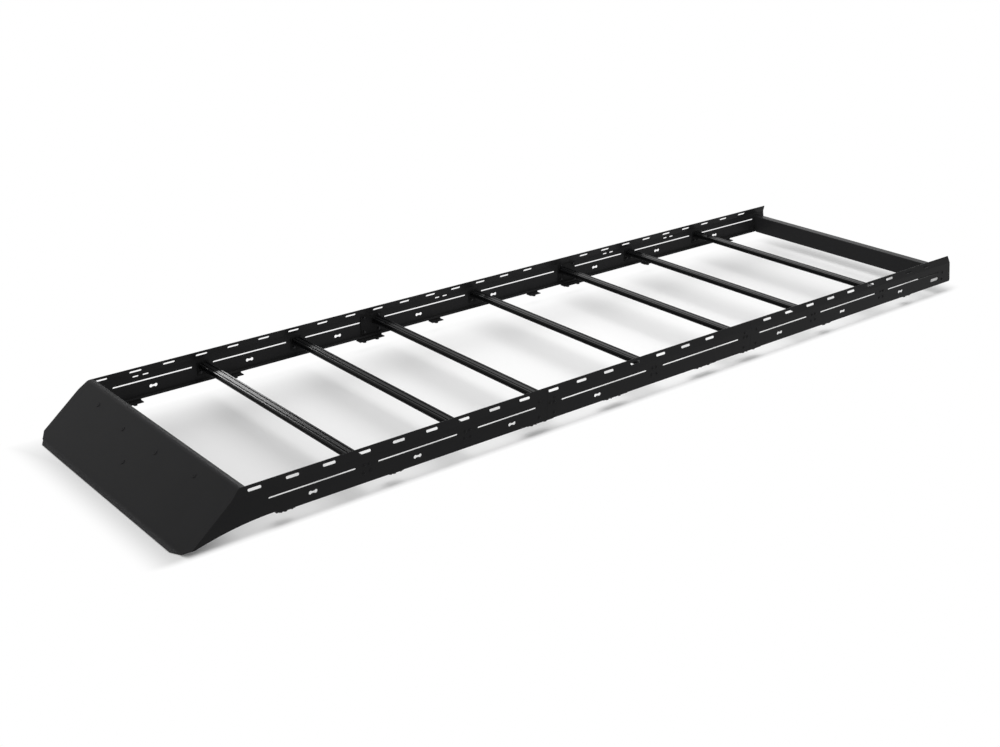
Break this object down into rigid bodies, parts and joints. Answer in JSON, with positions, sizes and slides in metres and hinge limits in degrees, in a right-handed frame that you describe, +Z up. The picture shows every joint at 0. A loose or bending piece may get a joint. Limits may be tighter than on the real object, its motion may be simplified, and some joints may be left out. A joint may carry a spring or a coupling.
{
  "type": "van roof rack",
  "caption": "Long low-profile van roof rack: slotted sheet side rails joined by T-slot crossbars, a sloping wind fairing in front, a rear panel and feet under the rails.",
  "frame": {"origin": "on the floor under the middle of the rack's box", "axes": "+X forward to the wind fairing, +Y to the left rail, +Z up"},
  "size_m": [5.1395, 1.469, 0.2252],
  "materials": {
    "powder_coated_sheet": "satin black powder coat with a fine grain",
    "anodised_bar": "semi-gloss black anodised extrusion",
    "powder_coated_plate": "satin black powder coat"
  },
  "bodies": {
    "root": {"front_fairing": "powder_coated_sheet", "rear_panel": "powder_coated_sheet", "left_front_rail": "powder_coated_sheet", "left_middle_rail": "powder_coated_sheet", "left_rear_rail": "powder_coated_sheet", "right_front_rail": "powder_coated_sheet", "right_middle_rail": "powder_coated_sheet", "right_rear_rail": "powder_coated_sheet", "crossbar_1": "anodised_bar", "crossbar_2": "anodised_bar", "crossbar_3": "anodised_bar", "crossbar_4": "anodised_bar", "crossbar_5": "anodised_bar", "crossbar_6": "anodised_bar", "crossbar_7": "anodised_bar", "bar_1_brackets": "powder_coated_plate", "bar_2_brackets": "powder_coated_plate", "bar_4_brackets": "powder_coated_plate", "bar_6_brackets": "powder_coated_plate", "bar_7_brackets": "powder_coated_plate", "left_front_splice": "powder_coated_plate", "left_rear_splice": "powder_coated_plate", "right_front_splice": "powder_coated_plate", "right_rear_splice": "powder_coated_plate", "left_foot_1": "powder_coated_plate", "left_foot_2": "powder_coated_plate", "left_foot_3": "powder_coated_plate", "left_foot_4": "powder_coated_plate", "left_foot_5": "powder_coated_plate", "left_foot_6": "powder_coated_plate", "left_foot_7": "powder_coated_plate", "left_foot_8": "powder_coated_plate", "right_foot_1": "powder_coated_plate", "right_foot_2": "powder_coated_plate", "right_foot_3": "powder_coated_plate", "right_foot_4": "powder_coated_plate", "right_foot_5": "powder_coated_plate", "right_foot_6": "powder_coated_plate", "right_foot_7": "powder_coated_plate", "right_foot_8": "powder_coated_plate"}
  },
  "joints": []
}
